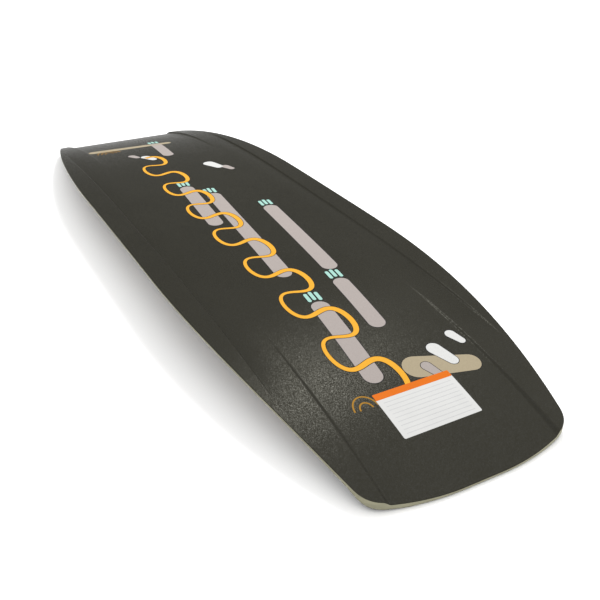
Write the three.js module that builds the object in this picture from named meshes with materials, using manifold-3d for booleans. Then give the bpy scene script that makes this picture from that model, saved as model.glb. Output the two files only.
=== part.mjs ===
// Wakeboard, bare, lying base up on its two tips.
// Frame: millimetres, +X along the board, +Y to the right rail, +Z out of the base.
import * as THREE from 'three';
import Module from 'manifold-3d';
import { mergeVertices } from 'three/addons/utils/BufferGeometryUtils.js';

// ---- overall sizes --------------------------------------------------------------------------
const boardLength = 1420;
const boardWidth = 428.2;
const rockerHeight = 64.8;
const rockerPower = 3.39;
const midThickness = 18;
const tipThickness = 11.4;
const fullThicknessHalf = 121;
const tipThicknessLength = 50;
const halfLength = boardLength / 2;
const halfWidth = boardWidth / 2;

// ---- outline: parallel middle, long side arc, blunt tip arc, eased corner -------------------
const parallelHalf = 178;
const sideArcRadius = 2018;
const tipFlatHalf = 27;
const tipArcRadius = 340;
const cornerReach = 21;
const tipSeatHalf = 103;
const tipSeatLength = 142;
const tipSeatFull = 21;

// ---- shaping of the base --------------------------------------------------------------------
const tipChannelInset = 87;
const tipChannelDepth = 4.4;
const tipChannelRamp = 9;
const tipChannelLength = 360;
const chineInset = 39;
const chineDepth = 2.2;
const chineRoll = 34;
const chineWall = 4;
const chineFromTip = 150;
const chineFadeLength = 180;

// ---- skins, glue lines and side wall --------------------------------------------------------
const baseSheetThickness = 1.2;
const laminateThickness = 0.6;
const topSheetThickness = 0.6;
const glueLine = 0.3;
const wallWidth = 16;
const railLip = 2.7;
const tipBevelHeight = 2.4;
const tipBevelLength = 22;
const bevelFadeLength = 33;
const bevelRun = 0.8;

// ---- core: lengthwise strips ----------------------------------------------------------------
const coreStrips = 5;

// ---- binding inserts ------------------------------------------------------------------------
const stanceCentre = 295;
const rowSpacing = 152.4;
const insertPitch = 25.4;
const insertsPerRow = 6;
const insertBody = 9.5;
const insertFlange = 13;
const insertFlangeThickness = 1.4;
const insertBore = 5.1;
const insertDepth = 10;
const insertSides = 8;
const insertFloor = 0.8;
const insertSetback = 0.1;
const insertClearance = 0.3;
const blockWidth = 26;
const blockEndMargin = 11;
const padEndMargin = 10.5;

// ---- plain sticker --------------------------------------------------------------------------
const stickerLength = 74;
const stickerWidth = 118;
const stickerFromTip = 117;
const stickerThickness = 0.25;
const stickerGap = 0.05;

// ---- lengths that follow from the sizes above -----------------------------------------------
const rowLength = (insertsPerRow - 1) * insertPitch;
const blockLength = rowLength + 2 * blockEndMargin;
const padHalf = blockLength / 2 + padEndMargin;
const padFrom = stanceCentre - padHalf;
const padTo = stanceCentre + padHalf;
const stickerCentre = halfLength - stickerFromTip;
const tipChannelLine = halfWidth - tipChannelInset;
const tipChannelStart = halfLength - tipChannelLength;
const chineLine = halfWidth - chineInset;
const chineEnd = halfLength - chineFromTip;
const chineFade = chineEnd - chineFadeLength;
const underSheet = baseSheetThickness + glueLine;
const underLaminate = underSheet + laminateThickness + glueLine;
const overTop = topSheetThickness + glueLine;
const overLaminate = overTop + laminateThickness + glueLine;

const wasm = await Module();
wasm.setup();

// ---- small helpers --------------------------------------------------------------------------
const clamp01 = (t) => Math.min(1, Math.max(0, t));
const lerp = (a, b, t) => a + (b - a) * t;
const smooth = (a, b, s) => {
  const t = clamp01((s - a) / (b - a));
  return t * t * (3 - 2 * t);
};
const bothWays = (list) => [...list.slice(1).map((v) => -v).reverse(), ...list];

// Stations along the board and lines across it, shared by every bent layer.
const beforePad = [0, 0.35, 0.7].map((t) => t * padFrom);
const onThePad = [0, 0.5].map((t) => lerp(padFrom, padTo, t));
const afterPad = [0, 0.14, 0.28, 0.42, 0.545, 0.67, 0.79, 0.9, 1]
  .map((t) => lerp(padTo, halfLength, t));
const wallSplit = afterPad[4];
const stations = bothWays([...beforePad, ...onThePad, ...afterPad]);
const overhang = 6;
const chineFoot = chineLine - chineWall / 2;
const lines = bothWays([
  0, tipChannelLine - tipChannelRamp / 2, tipChannelLine + tipChannelRamp / 2,
  chineFoot - chineRoll / 2, chineFoot, chineFoot + chineWall, halfWidth + overhang]);
const deckLines = bothWays([
  0, tipFlatHalf, ...[1 / 3, 2 / 3, 1].map((t) => lerp(tipFlatHalf, tipSeatHalf, t)),
  halfWidth + overhang]);
const allLines = [...new Set([...lines, ...deckLines])].sort((a, b) => a - b)
  .filter((y, i, list) => i === 0 || y - list[i - 1] > 2);
const reach = halfLength + overhang;
const slabStations = [-reach, ...stations, reach];

// ---- the two faces of the board, as heights over the plan -----------------------------------
const rockerAt = (x) => rockerHeight * (1 - Math.abs(x / halfLength) ** rockerPower);
const tipShare = (x) => clamp01((Math.abs(x) - tipChannelStart) / (halfLength - tipChannelStart));

function chineAt(x, s) {
  const fade = 1 - smooth(chineFade, chineEnd, Math.abs(x));
  const roll = clamp01((s - chineFoot + chineRoll) / chineRoll);
  const wall = clamp01((s - chineFoot) / chineWall);
  return -chineDepth * fade * (roll * roll - wall);
}

function baseAt(x, y) {
  const s = Math.abs(y);
  const inner = clamp01((tipChannelLine + tipChannelRamp / 2 - s) / tipChannelRamp);
  const channel = tipChannelDepth * tipShare(x) ** 1.2 * inner;
  return tipThickness + rockerAt(x) - channel + chineAt(x, s);
}

function thicknessAt(x) {
  const t = smooth(fullThicknessHalf, halfLength - tipThicknessLength, Math.abs(x));
  return lerp(midThickness, tipThickness, t);
}
const deckCurve = (x) => tipThickness + rockerAt(x) - thicknessAt(x);

// How far the tip's edge has swept back at this distance from the centre line.
function sweepAt(x, y) {
  const share = smooth(halfLength - tipSeatLength, halfLength - tipSeatFull, Math.abs(x));
  const across = Math.min(Math.abs(y), tipSeatHalf);
  return share * Math.max(0, across - tipFlatHalf) ** 2 / (2 * tipArcRadius);
}

// The deck is dead flat under each binding so that a baseplate seats, and near a tip it follows
// the tip's edge so that the board rests on the whole edge.
function deckAt(x, y = 0) {
  const t = (Math.abs(x) - padFrom) / (padTo - padFrom);
  if (t <= 0 || t >= 1) return deckCurve(Math.abs(x) + sweepAt(x, y));
  return lerp(deckCurve(padFrom), deckCurve(padTo), t);
}
const padSlope = Math.atan2(deckCurve(padTo) - deckCurve(padFrom), padTo - padFrom);

const baseLess = (depth) => (x, y) => baseAt(x, y) - depth;
const deckPlus = (height) => (x, y) => deckAt(x, y) + height;

// ---- outline --------------------------------------------------------------------------------
const sideAt = (x) => halfWidth - Math.max(0, x - parallelHalf) ** 2 / (2 * sideArcRadius);
const tipAt = (y) => halfLength - Math.max(0, y - tipFlatHalf) ** 2 / (2 * tipArcRadius);

function cornerPoint() {
  let y = 0.7 * halfWidth;
  for (let i = 0; i < 60; i += 1) y = (y + sideAt(tipAt(y))) / 2;
  return [tipAt(y), y];
}

// One quarter, from the middle of the tip to the middle of the right rail.
function quarterOutline() {
  const [cx, cy] = cornerPoint();
  const tipEnd = cy - cornerReach;
  const sideEnd = cx - cornerReach;
  const points = [0, 0.2, 0.4, 0.6, 0.8].map((t) => [tipAt(t * tipEnd), t * tipEnd]);
  for (const t of [0, 0.15, 0.3, 0.45, 0.6, 0.8, 1]) {
    const u = 1 - t;
    points.push([
      u * u * tipAt(tipEnd) + 2 * u * t * cx + t * t * sideEnd,
      u * u * tipEnd + 2 * u * t * cy + t * t * sideAt(sideEnd)]);
  }
  const along = stations.filter((x) => x >= 0 && x < sideEnd - 6).reverse();
  return [...points, ...along.map((x) => [x, sideAt(x)])];
}

// Full outline, anticlockwise seen from the base side, starting at the near tip.
function fullOutline() {
  const q = quarterOutline();
  const inner = q.slice(1, -1);
  return [
    ...q,
    ...inner.map(([x, y]) => [-x, y]).reverse(),
    [-q[0][0], 0],
    ...inner.map(([x, y]) => [-x, -y]),
    [0, -q[q.length - 1][1]],
    ...inner.map(([x, y]) => [x, -y]).reverse()];
}
const outline = fullOutline();

const inward = outline.map((point, i) => {
  const n = outline.length;
  const before = outline[(i + n - 1) % n];
  const after = outline[(i + 1) % n];
  const run = Math.hypot(after[0] - before[0], after[1] - before[1]);
  return [-(after[1] - before[1]) / run, (after[0] - before[0]) / run];
});

const insetPoint = (i, inset) => [
  outline[i][0] + inset * inward[i][0], outline[i][1] + inset * inward[i][1]];
const insetOutline = (insetAt) => outline.map(([x], i) => insetPoint(i, insetAt(x)));

// Along a rail the bevel leaves a lip of constant height; round a tip it is a small one.
function bevelHeightAt(x) {
  const wallHeight = tipThickness + rockerAt(x) - deckAt(x) - underSheet - overTop;
  const end = halfLength - tipBevelLength;
  return lerp(wallHeight - railLip, tipBevelHeight, smooth(end - bevelFadeLength, end, Math.abs(x)));
}
const bevelInsetAt = (x) => bevelRun * bevelHeightAt(x);

// ---- solids ---------------------------------------------------------------------------------
function toManifold(geometry) {
  const bare = geometry.clone();
  bare.deleteAttribute('normal');
  bare.deleteAttribute('uv');
  const merged = mergeVertices(bare, 1e-4);
  const index = [];
  for (let i = 0; i < merged.index.count; i += 3) {
    const [a, b, c] = [0, 1, 2].map((k) => merged.index.getX(i + k));
    if (a !== b && b !== c && c !== a) index.push(a, b, c);
  }
  return new wasm.Manifold(new wasm.Mesh({
    numProp: 3,
    vertProperties: new Float32Array(merged.attributes.position.array),
    triVerts: new Uint32Array(index),
  }));
}

function toGeometry(solid) {
  const mesh = solid.getMesh();
  const merged = new THREE.BufferGeometry();
  const positions = Float32Array.from(mesh.vertProperties);
  merged.setAttribute('position', new THREE.BufferAttribute(positions, 3));
  merged.setIndex(new THREE.BufferAttribute(Uint32Array.from(mesh.triVerts), 1));
  const split = merged.toNonIndexed();
  split.computeVertexNormals();
  return split;
}

// A solid between two bent faces: a grid of heights over the plan, closed round the edge.
function bentSlab(xs, ys, topAt, underAt) {
  const positions = [];
  for (const heightAt of [topAt, underAt]) {
    for (const x of xs) for (const y of ys) positions.push(x, y, heightAt(x, y));
  }
  const at = (i, j, under) => (under ? xs.length * ys.length : 0) + i * ys.length + j;
  const index = [];
  const face = (a, b, c, under) => index.push(a, under ? c : b, under ? b : c);
  for (let i = 0; i < xs.length - 1; i += 1) {
    for (let j = 0; j < ys.length - 1; j += 1) {
      const sameSide = (xs[i] + xs[i + 1]) * (ys[j] + ys[j + 1]) >= 0;
      for (const under of [false, true]) {
        const a = at(i, j, under);
        const b = at(i + 1, j, under);
        const c = at(i + 1, j + 1, under);
        const d = at(i, j + 1, under);
        face(a, b, sameSide ? c : d, under);
        face(sameSide ? a : b, c, d, under);
      }
    }
  }
  const edge = (i0, j0, i1, j1) => {
    const [a, b] = [at(i0, j0, false), at(i1, j1, false)];
    const [c, d] = [at(i0, j0, true), at(i1, j1, true)];
    index.push(a, c, d, a, d, b);
  };
  for (let i = 0; i < xs.length - 1; i += 1) {
    edge(i, 0, i + 1, 0);
    edge(i + 1, ys.length - 1, i, ys.length - 1);
  }
  for (let j = 0; j < ys.length - 1; j += 1) {
    edge(xs.length - 1, j, xs.length - 1, j + 1);
    edge(0, j + 1, 0, j);
  }
  const geometry = new THREE.BufferGeometry();
  geometry.setAttribute('position', new THREE.Float32BufferAttribute(positions, 3));
  geometry.setIndex(index);
  return toManifold(geometry);
}

function prism(points) {
  const depth = 3 * (rockerHeight + midThickness);
  const shape = new THREE.Shape(points.map(([x, y]) => new THREE.Vector2(x, y)));
  const geometry = new THREE.ExtrudeGeometry(shape, { depth, bevelEnabled: false, steps: 1 });
  geometry.translate(0, 0, -depth / 3);
  return toManifold(geometry);
}

function column(x0, x1, y0, y1) {
  const depth = 3 * (rockerHeight + midThickness);
  const geometry = new THREE.BoxGeometry(x1 - x0, y1 - y0, depth);
  geometry.translate((x0 + x1) / 2, (y0 + y1) / 2, depth / 6);
  return toManifold(geometry);
}

const material = (name, color, roughness, metalness = 0) => {
  const made = new THREE.MeshStandardMaterial({ color, roughness, metalness });
  made.name = name;
  return made;
};

const parts = [];
function addPart(name, solid, made) {
  parts.push({ name, solid, made });
}

// ---- sheets and laminates -------------------------------------------------------------------
const corePlan = prism(insetOutline(() => wallWidth + glueLine));

function sheetUnder(depth, thickness, plan) {
  return bentSlab(slabStations, lines, baseLess(depth), baseLess(depth + thickness)).intersect(plan);
}

function sheetOver(height, thickness, plan) {
  return bentSlab(slabStations, deckLines, deckPlus(height + thickness), deckPlus(height))
    .intersect(plan);
}

// ---- side wall: a ring between the sheets, bevelled towards the deck ------------------------
function bevelCutter() {
  const away = 8;
  const far = 3 * midThickness;
  const positions = [];
  outline.forEach(([x, y], i) => {
    const inset = bevelInsetAt(x);
    const foot = deckAt(x, y) + overTop;
    const [ox, oy] = insetPoint(i, -away);
    const [rx, ry] = insetPoint(i, inset + 0.75 * away);
    const lip = foot + bevelHeightAt(x) + away / bevelRun;
    const low = foot - 0.75 * away / bevelRun;
    positions.push(ox, oy, lip, rx, ry, low, rx, ry, foot - far, ox, oy, foot - far);
  });
  const index = [];
  const n = outline.length;
  for (let i = 0; i < n; i += 1) {
    const k = (i + 1) % n;
    for (let c = 0; c < 4; c += 1) {
      const d = (c + 1) % 4;
      index.push(4 * i + c, 4 * k + c, 4 * k + d, 4 * i + c, 4 * k + d, 4 * i + d);
    }
  }
  const geometry = new THREE.BufferGeometry();
  geometry.setAttribute('position', new THREE.Float32BufferAttribute(positions, 3));
  geometry.setIndex(index);
  return toManifold(geometry);
}

function addSideWall() {
  const slab = bentSlab(slabStations, allLines, baseLess(underSheet), deckPlus(overTop));
  const plan = prism(outline).subtract(prism(insetOutline(() => wallWidth)));
  const ring = slab.intersect(plan).subtract(bevelCutter());
  const half = glueLine / 2;
  const long = wallSplit - half;
  const wide = halfWidth + overhang;
  // Each rail's wall comes in three lengths, jointed where the flat pads end.
  const lengths = [
    ['far', -long, -padTo - half],
    ['middle', -padTo + half, padTo - half],
    ['near', padTo + half, long],
  ];
  for (const [place, start, stop] of lengths) {
    addPart(`rail_left_${place}`, ring.intersect(column(start, stop, -wide, 0)), looks.wall);
    addPart(`rail_right_${place}`, ring.intersect(column(start, stop, 0, wide)), looks.wall);
  }
  addPart('tip_wall_near', ring.intersect(column(wallSplit + half, reach, -wide, wide)), looks.wall);
  addPart('tip_wall_far', ring.intersect(column(-reach, -wallSplit - half, -wide, wide)), looks.wall);
}

// ---- core, insert blocks and inserts --------------------------------------------------------
const insertPlaces = [];
for (const end of [1, -1]) {
  for (const side of [-1, 1]) {
    for (let k = 0; k < insertsPerRow; k += 1) {
      const along = k * insertPitch - rowLength / 2;
      insertPlaces.push({ end, side, k, along, across: side * rowSpacing / 2 });
    }
  }
}

// Takes a shape drawn with +Z going into the board from the deck and sets it on a pad.
function onPad(geometry, { end, along, across }) {
  geometry.rotateY(-end * padSlope);
  geometry.translate(
    end * (stanceCentre + along * Math.cos(padSlope)),
    across,
    deckAt(stanceCentre) + along * Math.sin(padSlope));
  return toManifold(geometry);
}

function turned(profile) {
  const points = profile.map(([r, z]) => new THREE.Vector2(r, z));
  const geometry = new THREE.LatheGeometry(points, insertSides);
  geometry.rotateX(Math.PI / 2);
  return geometry;
}

function insertShape() {
  const flangeFrom = insertDepth - insertFlangeThickness;
  const floor = flangeFrom - insertFloor;
  const bore = insertBore / 2;
  return turned([
    [0, floor], [bore, floor], [bore, insertSetback], [insertBody / 2, insertSetback],
    [insertBody / 2, flangeFrom], [insertFlange / 2, flangeFrom], [insertFlange / 2, insertDepth],
    [0, insertDepth]]);
}

// The hole for one insert: a barrel hole from the deck, a wider seat for the flange.
function insertHole(withSeat) {
  const barrel = insertBody / 2 + insertClearance;
  const seat = insertFlange / 2 + insertClearance;
  const flangeFrom = insertDepth - insertFlangeThickness - insertClearance;
  const profile = withSeat
    ? [[0, -3], [barrel, -3], [barrel, flangeFrom], [seat, flangeFrom], [seat, 30], [0, 30]]
    : [[0, -3], [barrel, -3], [barrel, 5], [0, 5]];
  return turned(profile);
}

function insertHoles(places, withSeat) {
  return places.map((place) => onPad(insertHole(withSeat), place));
}

function blockPlan(end, side, grow) {
  const [x, y] = [end * stanceCentre, side * rowSpacing / 2];
  const [a, b] = [blockLength / 2 + grow, blockWidth / 2 + grow];
  return column(x - a, x + a, y - b, y + b);
}

function addCore() {
  const slab = bentSlab(slabStations, allLines, baseLess(underLaminate), deckPlus(overLaminate))
    .intersect(corePlan);
  const corners = [[1, -1], [1, 1], [-1, -1], [-1, 1]];
  const openings = corners.map(([end, side]) => blockPlan(end, side, glueLine));
  const coreHalf = halfWidth - wallWidth - glueLine;
  const strip = 2 * coreHalf / coreStrips;
  for (let i = 0; i < coreStrips; i += 1) {
    const from = -coreHalf + i * strip + (i === 0 ? -1 : glueLine / 2);
    const to = -coreHalf + (i + 1) * strip + (i === coreStrips - 1 ? 1 : -glueLine / 2);
    let body = slab.intersect(column(-reach, reach, from, to));
    for (const opening of openings) body = body.subtract(opening);
    addPart(`core_strip_${i + 1}`, body, looks.core);
  }
  for (const [end, side] of corners) {
    let body = slab.intersect(blockPlan(end, side, 0));
    const mine = insertPlaces.filter((place) => place.end === end && place.side === side);
    for (const hole of insertHoles(mine, true)) body = body.subtract(hole);
    const which = `${end > 0 ? 'near' : 'far'}_${side < 0 ? 'left' : 'right'}`;
    addPart(`insert_block_${which}`, body, looks.block);
  }
}

function addInserts() {
  for (const place of insertPlaces) {
    const which = `${place.end > 0 ? 'near' : 'far'}_${place.side < 0 ? 'left' : 'right'}`;
    addPart(`insert_${which}_${place.k + 1}`, onPad(insertShape(), place), looks.steel);
  }
}

// ---- sticker --------------------------------------------------------------------------------
function addSticker() {
  const from = stickerCentre - stickerLength / 2;
  const to = stickerCentre + stickerLength / 2;
  const xs = [from, ...stations.filter((x) => x > from + 0.5 && x < to - 0.5), to];
  const ys = [-stickerWidth / 2, stickerWidth / 2];
  addPart('sticker', bentSlab(xs, ys, baseLess(-stickerGap - stickerThickness), baseLess(-stickerGap)),
    looks.sticker);
}

// ---- assembly -------------------------------------------------------------------------------
const looks = {
  base: material('base_plastic', 0x403f38, 0.55),
  laminate: material('laminate', 0xc9c6a8, 0.45),
  core: material('core_wood', 0xcfae7c, 0.8),
  block: material('block_wood', 0x9c7442, 0.75),
  steel: material('insert_metal', 0xb9bbbd, 0.35, 1),
  topSheet: material('top_sheet', 0x35342f, 0.3),
  wall: material('side_wall', 0x908d76, 0.6),
  sticker: material('sticker', 0xf2f2ee, 0.35),
};

function addSheets() {
  addPart('base_sheet', sheetUnder(0, baseSheetThickness, prism(outline)), looks.base);
  addPart('base_laminate', sheetUnder(underSheet, laminateThickness, corePlan), looks.laminate);
  const holes = insertHoles(insertPlaces, false);
  const deckPlan = prism(insetOutline(bevelInsetAt));
  let skin = sheetOver(overTop, laminateThickness, corePlan);
  let film = sheetOver(0, topSheetThickness, deckPlan);
  for (const hole of holes) {
    skin = skin.subtract(hole);
    film = film.subtract(hole);
  }
  addPart('deck_laminate', skin, looks.laminate);
  addPart('top_sheet', film, looks.topSheet);
}

addSheets();
addSideWall();
addCore();
addInserts();
addSticker();

// The board rests on its tips: the lowest point of the deck is set on the floor.
const floorHeight = Math.min(...parts.map(({ solid }) => solid.boundingBox().min[2]));
const wakeboard = new THREE.Group();
wakeboard.name = 'wakeboard';
for (const { name, solid, made } of parts) {
  const mesh = new THREE.Mesh(toGeometry(solid.translate([0, 0, -floorHeight])), made.clone());
  mesh.name = name;
  wakeboard.add(mesh);
}

export default wakeboard;
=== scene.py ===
"""Wakeboard lying base up on its two tips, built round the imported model.

Row frame: metres, +X along the board towards the sticker, +Y to the right rail, +Z out of the base.
"""
import math

import bpy
import numpy as np
from mathutils import Matrix, Vector
from mathutils.geometry import delaunay_2d_cdt


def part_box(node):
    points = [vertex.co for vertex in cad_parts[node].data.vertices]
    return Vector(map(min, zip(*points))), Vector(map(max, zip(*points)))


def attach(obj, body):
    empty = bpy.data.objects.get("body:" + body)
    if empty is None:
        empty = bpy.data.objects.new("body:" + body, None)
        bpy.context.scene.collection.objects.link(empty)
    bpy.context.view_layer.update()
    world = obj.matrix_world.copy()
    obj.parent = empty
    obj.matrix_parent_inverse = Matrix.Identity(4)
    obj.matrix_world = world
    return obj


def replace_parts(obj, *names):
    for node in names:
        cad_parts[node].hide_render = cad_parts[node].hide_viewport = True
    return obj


bl_info = {
    "name": "Wakeboard",
    "version": (1, 0, 0),
    "blender": (4, 5, 0),
    "location": "View3D > Sidebar > Wakeboard",
    "description": "Builds a bare wakeboard with its base, rails, deck, inserts and graphic",
    "category": "Add Mesh",
}

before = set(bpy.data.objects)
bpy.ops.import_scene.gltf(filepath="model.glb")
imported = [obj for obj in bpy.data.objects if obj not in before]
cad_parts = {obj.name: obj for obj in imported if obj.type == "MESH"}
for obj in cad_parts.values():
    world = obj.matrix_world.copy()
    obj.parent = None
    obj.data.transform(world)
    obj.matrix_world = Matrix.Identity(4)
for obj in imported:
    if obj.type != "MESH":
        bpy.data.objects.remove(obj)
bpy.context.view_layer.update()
base_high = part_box("base_sheet")[1]
wall_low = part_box("tip_wall_near")[0]
insert_low, insert_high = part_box("insert_near_left_1")
last_low, last_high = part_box("insert_near_left_6")
sticker_low, sticker_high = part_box("sticker")

MM = 0.001


# ---- sizes and colours a user may change ----------------------------------------------------

def length(name, description, default):
    return bpy.props.FloatProperty(
        name=name, description=description, default=default, unit="LENGTH", precision=4)


def share(name, description, default):
    return bpy.props.FloatProperty(
        name=name, description=description, default=default, subtype="FACTOR", min=0, max=1)


def colour(name, description, default):
    return bpy.props.FloatVectorProperty(
        name=name, description=description, default=default, subtype="COLOR", size=3, min=0, max=1)


class BoardSizes(bpy.types.PropertyGroup):
    """Sizes of the board's body."""
    half_length: length("Half length", "Middle of the board to the end of a tip", base_high.x)
    half_width: length("Half width", "Centre line to the widest part of a rail", base_high.y)
    rocker: length("Rocker", "Height of the base at the middle above its height at a tip", 64.8 * MM)
    rocker_power: bpy.props.FloatProperty(
        name="Rocker power", description="How late the rocker curve bends", default=3.39)
    mid_thickness: length("Middle thickness", "Base to deck at the middle", 18 * MM)
    tip_thickness: length("Tip thickness", "Base to deck at a tip, beside the channel", 11.4 * MM)
    full_thickness_half: length("Full thickness", "Middle to where the board starts to thin", 121 * MM)
    tip_thickness_length: length("Thin tip", "Length of a tip with its final thickness", 50 * MM)
    parallel_half: length("Parallel half", "Middle to where the rail starts to curve in", 178 * MM)
    side_radius: length("Side radius", "Radius of the rail's long arc", 2018 * MM)
    tip_flat_half: length("Tip flat", "Centre line to where the tip starts to curve", 27 * MM)
    tip_radius: length("Tip radius", "Radius of the blunt tip", 340 * MM)
    corner_reach: length("Corner reach", "How far the eased corner reaches along each side", 21 * MM)
    seat_half: length("Tip seat", "Centre line to the end of the edge that rests on the floor", 103 * MM)
    seat_length: length("Tip seat run", "Tip to where the deck starts to follow its edge", 142 * MM)
    seat_full: length("Tip seat end", "Tip to where the deck follows its edge fully", 21 * MM)


class BaseShape(bpy.types.PropertyGroup):
    """Channels and chines pressed into the base."""
    channel_inset: length("Channel inset", "Widest part of a rail to the tip channel's wall", 87 * MM)
    channel_length: length("Channel length", "Tip to where the channel starts", 360 * MM)
    channel_depth: length("Channel depth", "Depth of the tip channel at the end", 4.4 * MM)
    channel_ramp: length("Channel ramp", "Width of the channel's wall at the end", 9 * MM)
    chine_inset: length("Chine inset", "Widest part of a rail to the chine's wall", 39 * MM)
    chine_from_tip: length("Chine from tip", "Tip to where the chine has run out", 150 * MM)
    chine_fade: length("Chine fade", "Length over which the chine runs out", 180 * MM)
    chine_depth: length("Chine depth", "Height of the chine's wall", 2.2 * MM)
    chine_roll: length("Chine roll", "Width over which the base rolls down to the chine", 34 * MM)
    chine_wall: length("Chine wall", "Width of the chine's wall", 3.4 * MM)


class SkinSizes(bpy.types.PropertyGroup):
    """Skins, side walls and their edges."""
    base_sheet: length("Base sheet", "Thickness of the base sheet", 1.2 * MM)
    film: length("Deck film", "Thickness of the film on the deck", 0.6 * MM)
    film_step: length("Film step", "Deck face to the side wall's lower face", 0.9 * MM)
    glue: length("Glue line", "Gap between two glued layers", 0.3 * MM)
    wall: length("Side wall", "Width of the cast side wall", 16 * MM)
    rail_lip: length("Rail lip", "Height of a rail's wall above its bevel", 2.7 * MM)
    tip_bevel: length("Tip bevel", "Height of the rail's bevel at a tip", 2.4 * MM)
    bevel_run: share("Bevel run", "Inward run of the bevel for its height", 0.8)
    tip_bevel_length: length("Tip bevel run", "Length of a tip with its final bevel", 22 * MM)
    bevel_fade: length("Bevel fade", "Length over which the bevel shrinks to the tip's", 33 * MM)
    edge_ease: length("Edge ease", "Rounding of the exposed edges", 0.35 * MM)


class InsertSizes(bpy.types.PropertyGroup):
    """Threaded inserts in the deck."""
    body: length("Body", "Outside diameter of the barrel", 9.5 * MM)
    flange: length("Flange", "Diameter of the flange", 13 * MM)
    flange_thickness: length("Flange thickness", "Thickness of the flange", 1.4 * MM)
    thread: length("Thread", "Outside diameter of the thread", 6 * MM)
    thread_pitch: length("Thread pitch", "Pitch of the thread", 1 * MM)
    depth: length("Depth", "Deck face to the back of the flange", 10 * MM)
    per_row: bpy.props.IntProperty(name="Per row", description="Inserts in one row", default=6)
    hole: length("Hole", "Diameter of the hole in the deck film", 10.1 * MM)


class Finishes(bpy.types.PropertyGroup):
    """Colours of the board."""
    base: colour("Base", "Dark sintered base", (0.0240, 0.0229, 0.0176))
    base_light: colour("Base grain", "Paler grain in the base", (0.0330, 0.0318, 0.0255))
    flake: colour("Flakes", "Bright flakes in the base", (0.036, 0.036, 0.033))
    side_wall: colour("Side wall", "Cast side wall", (0.200, 0.190, 0.122))
    deck: colour("Deck", "Film on the deck", (0.036, 0.035, 0.029))
    ribbon: colour("Ribbon", "Ribbon of the graphic", (0.54, 0.270, 0.028))
    gold: colour("Gold", "Thin arcs of the graphic", (0.26, 0.135, 0.022))
    bar: colour("Bar", "Rounded bars of the graphic", (0.270, 0.240, 0.225))
    khaki: colour("Khaki", "Long pebbles of the graphic", (0.270, 0.228, 0.155))
    mint: colour("Mint", "Small pills of the graphic", (0.250, 0.420, 0.370))
    paper: colour("White", "White pebbles and the sticker", (0.450, 0.450, 0.440))
    ink: colour("Ink", "Dark border round each shape", (0.010, 0.011, 0.014))
    band: colour("Band", "Band of the sticker", (0.480, 0.105, 0.003))


GROUPS = {
    "wakeboard_sizes": BoardSizes,
    "wakeboard_base": BaseShape,
    "wakeboard_skins": SkinSizes,
    "wakeboard_inserts": InsertSizes,
    "wakeboard_finishes": Finishes,
}


def sizes():
    return bpy.context.scene.wakeboard_sizes


def base_shape():
    return bpy.context.scene.wakeboard_base


def skins():
    return bpy.context.scene.wakeboard_skins


def insert_sizes():
    return bpy.context.scene.wakeboard_inserts


def finishes():
    return bpy.context.scene.wakeboard_finishes


# ---- the board's two faces ------------------------------------------------------------------

def clamp01(t):
    return min(1.0, max(0.0, t))


def mix(a, b, t):
    return a + (b - a) * t


def ease(a, b, s):
    t = clamp01((s - a) / (b - a))
    return t * t * (3 - 2 * t)


def rocker_height(x):
    s = sizes()
    return s.rocker * (1 - abs(x / s.half_length) ** s.rocker_power)


def tip_share(x):
    run = base_shape().channel_length
    return clamp01((abs(x) - sizes().half_length + run) / run)


def channel_line():
    return sizes().half_width - base_shape().channel_inset


def chine_line():
    return sizes().half_width - base_shape().chine_inset


def chine_height(x, across):
    b = base_shape()
    end = sizes().half_length - b.chine_from_tip
    fade = 1 - ease(end - b.chine_fade, end, abs(x))
    foot = chine_line() - b.chine_wall / 2
    roll = clamp01((across - foot + b.chine_roll) / b.chine_roll)
    wall = ease(foot, foot + b.chine_wall, across)
    return -b.chine_depth * fade * (roll * roll - wall)


def base_height(x, y):
    """Height of the base above the floor."""
    b = base_shape()
    across = abs(y)
    reach = mix(0.3, 0.9, tip_share(x)) * b.channel_ramp
    inner = 1 - ease(channel_line() - reach / 2, channel_line() + reach / 2, across)
    channel = b.channel_depth * tip_share(x) ** 1.2 * inner
    top = base_high.z - sizes().rocker
    return top + rocker_height(x) - channel + chine_height(x, across)


def deck_curve(x):
    s = sizes()
    t = ease(s.full_thickness_half, s.half_length - s.tip_thickness_length, abs(x))
    return base_high.z - s.rocker + rocker_height(x) - mix(s.mid_thickness, s.tip_thickness, t)


PAD_CENTRE = (insert_low.x + last_high.x) / 2
PAD_HALF = 85 * MM


def tip_sweep(x, y):
    """How far the tip's edge has swept back at this distance from the centre line."""
    s = sizes()
    across = min(abs(y), s.seat_half)
    amount = ease(s.half_length - s.seat_length, s.half_length - s.seat_full, abs(x))
    return amount * max(0.0, across - s.tip_flat_half) ** 2 / (2 * s.tip_radius)


def deck_height(x, y=0.0):
    """Height of the deck's face: flat under each binding, and following the edge at a tip."""
    start, end = PAD_CENTRE - PAD_HALF, PAD_CENTRE + PAD_HALF
    t = (abs(x) - start) / (end - start)
    if 0 < t < 1:
        return mix(deck_curve(start), deck_curve(end), t)
    return deck_curve(abs(x) + tip_sweep(x, y))


# ---- outline --------------------------------------------------------------------------------

def side_width(x):
    s = sizes()
    return s.half_width - max(0.0, x - s.parallel_half) ** 2 / (2 * s.side_radius)


def tip_end(y):
    s = sizes()
    return s.half_length - max(0.0, y - s.tip_flat_half) ** 2 / (2 * s.tip_radius)


def wall_split():
    return wall_low.x - 0.15 * MM


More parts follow.
